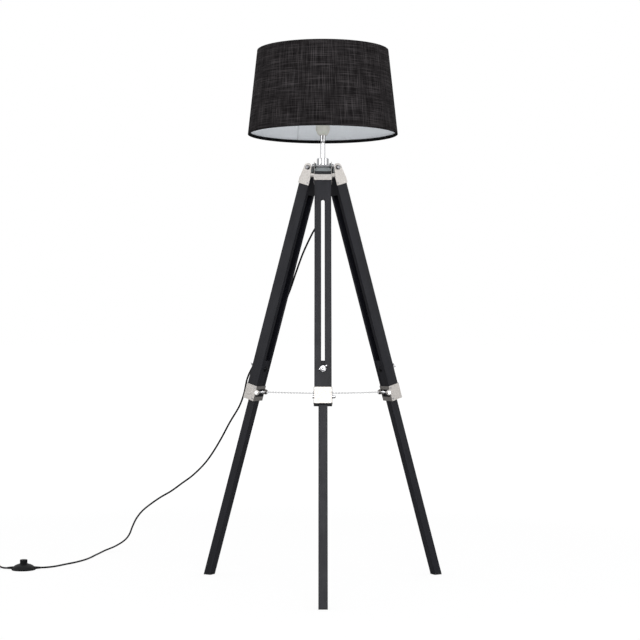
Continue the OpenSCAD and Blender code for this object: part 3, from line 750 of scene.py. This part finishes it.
LINK_WIRE_R = 0.55 * MM
LINK_LENGTH = 7.0 * MM
LINK_WIDTH = 4.2 * MM
LINK_PITCH = LINK_LENGTH - 4 * LINK_WIRE_R
LINK_CORNERS = 12
LINK_SIDES = 6
CHAIN_Z = 509 * MM
CHAIN_FROM = 10 * MM
CHAIN_TO = 172.5 * MM


def link_line():
    """A link's wire middle: two straights and two half rounds, in its own plane."""
    bend = LINK_WIDTH / 2 - LINK_WIRE_R
    straight = LINK_LENGTH / 2 - LINK_WIRE_R - bend
    line = []
    for end in (1, -1):
        for k in range(LINK_CORNERS // 2 + 1):
            angle = -math.pi / 2 + math.pi * k / (LINK_CORNERS // 2)
            line.append((end * (straight + bend * math.cos(angle)), end * bend * math.sin(angle)))
    return line


def add_link(points, faces, centre, along, across):
    up = along.cross(across)
    ring = link_line()
    count = len(ring)
    first = len(points)
    for n, (x, y) in enumerate(ring):
        before, after = ring[n - 1], ring[(n + 1) % count]
        ahead = Vector((after[0] - before[0], after[1] - before[1], 0)).normalized()
        outwards = Vector((ahead.y, -ahead.x, 0))
        for k in range(LINK_SIDES):
            angle = 2 * math.pi * k / LINK_SIDES
            off = outwards * math.cos(angle) * LINK_WIRE_R
            high = math.sin(angle) * LINK_WIRE_R
            points.append(centre + along * (x + off.x) + across * (y + off.y) + up * high)
    for n in range(count):
        m = (n + 1) % count
        for k in range(LINK_SIDES):
            j = (k + 1) % LINK_SIDES
            faces.append((first + n * LINK_SIDES + k, first + n * LINK_SIDES + j,
                          first + m * LINK_SIDES + j, first + m * LINK_SIDES + k))


def make_chain(leg, azimuth):
    angle = math.radians(azimuth)
    along = Vector((math.cos(angle), math.sin(angle), 0))
    level = Vector((-along.y, along.x, 0))
    count = round((CHAIN_TO - CHAIN_FROM) / LINK_PITCH)
    pitch = (CHAIN_TO - CHAIN_FROM) / count
    points, faces = [], []
    for n in range(count):
        centre = along * (CHAIN_FROM + (n + 0.5) * pitch) + Vector((0, 0, CHAIN_Z))
        across = level if n % 2 else Vector((0, 0, 1))
        add_link(points, faces, centre, along, across)
    chain = mesh_object(leg + "_link_chain", points, faces, chain_steel)
    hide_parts(leg + "_chain")
    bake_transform(chain)


# ---------------------------------------------------------------- studio

FLOOR_R = 60
FLOOR_NEAR = 1.3
FLOOR_FAR = 3.2
FLOOR_Z = -0.0004
FLOOR_GLOW = 0.84
GLOW_STRENGTH = 1.06
FLOOR_MIRRORED = (0.30, 0.30, 0.30)
PALE = (1.0, 1.0, 1.0)
# The surroundings' brightness from the horizon, and all below it, up to straight overhead
WORLD_STOPS = [(0.0, 0.36), (0.10, 0.44), (0.45, 0.80), (1.0, 0.95)]
FRONT_WATTS = 76
SIDE_WATTS = 22
# How much of the surroundings' light reaches matte surfaces
FILL_SHARE = 0.75


def floor_material():
    """A pale matte floor that turns evenly lit away from the lamp and meets the background unseen."""
    p = Paint("floor", Roughness=0.9, Specular_IOR_Level=0.1)
    path = p.add("LightPath")
    seen = p.blend(p.noise(p.at(), 3, 2), (0.90, 0.90, 0.90), (0.915, 0.915, 0.915))
    p.colour(p.blend(path.outputs["Is Glossy Ray"], seen, FLOOR_MIRRORED))
    far = p.add("Emission")
    far.inputs["Color"].default_value = (*PALE, 1)
    far.inputs["Strength"].default_value = GLOW_STRENGTH
    separate = p.add("SeparateXYZ")
    p.feed(separate.inputs[0], p.at(move=(0.25, -0.1, 0)))
    square = [p.maths("MULTIPLY", separate.outputs[k], separate.outputs[k]) for k in range(2)]
    reach = p.maths("SQRT", p.maths("ADD", *square))
    node = p.add("MapRange", interpolation_type="SMOOTHSTEP")
    p.feed(node.inputs["Value"], reach)
    node.inputs["From Min"].default_value = FLOOR_NEAR
    node.inputs["From Max"].default_value = FLOOR_FAR
    node.inputs["To Min"].default_value = FLOOR_GLOW
    mix = p.add("MixShader")
    p.feed(mix.inputs[0], p.maths("MULTIPLY", node.outputs["Result"], path.outputs["Is Camera Ray"]))
    p.feed(mix.inputs[1], p.shader.outputs[0])
    p.feed(mix.inputs[2], far.outputs[0])
    out = p.tree.nodes["Material Output"]
    p.feed(out.inputs["Surface"], mix.outputs[0])
    return p.material


def make_floor():
    rings = [0.5, 1.5, 4, 12, FLOOR_R]
    sides = 64
    points = [(0, 0, FLOOR_Z)]
    faces = []
    for r in rings:
        points += [(r * math.cos(2 * math.pi * k / sides), r * math.sin(2 * math.pi * k / sides), FLOOR_Z)
                   for k in range(sides)]
    for k in range(sides):
        faces.append((0, 1 + k, 1 + (k + 1) % sides))
    for n in range(len(rings) - 1):
        a, b = 1 + n * sides, 1 + (n + 1) * sides
        for k in range(sides):
            j = (k + 1) % sides
            faces.append((a + k, b + k, b + j, a + j))
    floor = mesh_object("studio_floor", points, faces, floor_material(), smooth=False)


def soft_light(name, at, towards, width, height, power):
    data = bpy.data.lights.new(name, "AREA")
    data.shape = "RECTANGLE"
    data.size = width
    data.size_y = height
    data.energy = power
    light = bpy.data.objects.new(name, data)
    light.location = at
    light.rotation_mode = "QUATERNION"
    light.rotation_quaternion = (Vector(towards) - Vector(at)).to_track_quat("-Z", "Y")
    scene.collection.objects.link(light)
    return light


def make_world():
    """Even pale surroundings. What the lamp is lit by is brightest overhead and greyer at the sides."""
    world = bpy.data.worlds.new("studio")
    scene.world = world
    world.use_nodes = True
    tree = world.node_tree
    tree.nodes.clear()
    out = tree.nodes.new("ShaderNodeOutputWorld")
    seen = tree.nodes.new("ShaderNodeBackground")
    seen.inputs["Color"].default_value = (*PALE, 1)
    around = tree.nodes.new("ShaderNodeBackground")
    path = tree.nodes.new("ShaderNodeLightPath")
    dimmed = tree.nodes.new("ShaderNodeMapRange")
    dimmed.inputs["To Min"].default_value = 1.0
    dimmed.inputs["To Max"].default_value = FILL_SHARE
    mix = tree.nodes.new("ShaderNodeMixShader")
    where = tree.nodes.new("ShaderNodeTexCoord")
    split = tree.nodes.new("ShaderNodeSeparateXYZ")
    ramp = tree.nodes.new("ShaderNodeValToRGB")
    while len(ramp.color_ramp.elements) < len(WORLD_STOPS):
        ramp.color_ramp.elements.new(0.5)
    for element, (position, value) in zip(ramp.color_ramp.elements, WORLD_STOPS):
        element.position = position
        element.color = (value, value, value * 1.01, 1)
    tree.links.new(where.outputs["Generated"], split.inputs[0])
    tree.links.new(split.outputs["Z"], ramp.inputs["Fac"])
    tree.links.new(ramp.outputs["Color"], around.inputs["Color"])
    tree.links.new(path.outputs["Is Diffuse Ray"], dimmed.inputs["Value"])
    tree.links.new(dimmed.outputs["Result"], around.inputs["Strength"])
    tree.links.new(path.outputs["Is Camera Ray"], mix.inputs[0])
    tree.links.new(around.outputs[0], mix.inputs[1])
    tree.links.new(seen.outputs[0], mix.inputs[2])
    tree.links.new(mix.outputs[0], out.inputs["Surface"])


def make_studio():
    make_floor()
    make_world()
    soft_light("front_softbox", (0.2, -4.6, 2.5), (0, 0, 0.8), 3.0, 2.2, FRONT_WATTS)
    for side in (-1, 1):
        strip = soft_light("side_softbox", (3.4 * side, -2.0, 1.1), (0, 0, 0.75), 1.6, 2.2, SIDE_WATTS)
        strip.visible_diffuse = False
    scene.view_settings.view_transform = "Standard"


# ---------------------------------------------------------------- the lamp

make_camera()
make_cords()
paint_cad()
make_shade()
for leg_name, leg_azimuth in LEG_AZIMUTH.items():
    make_chain(leg_name, leg_azimuth)
make_studio()
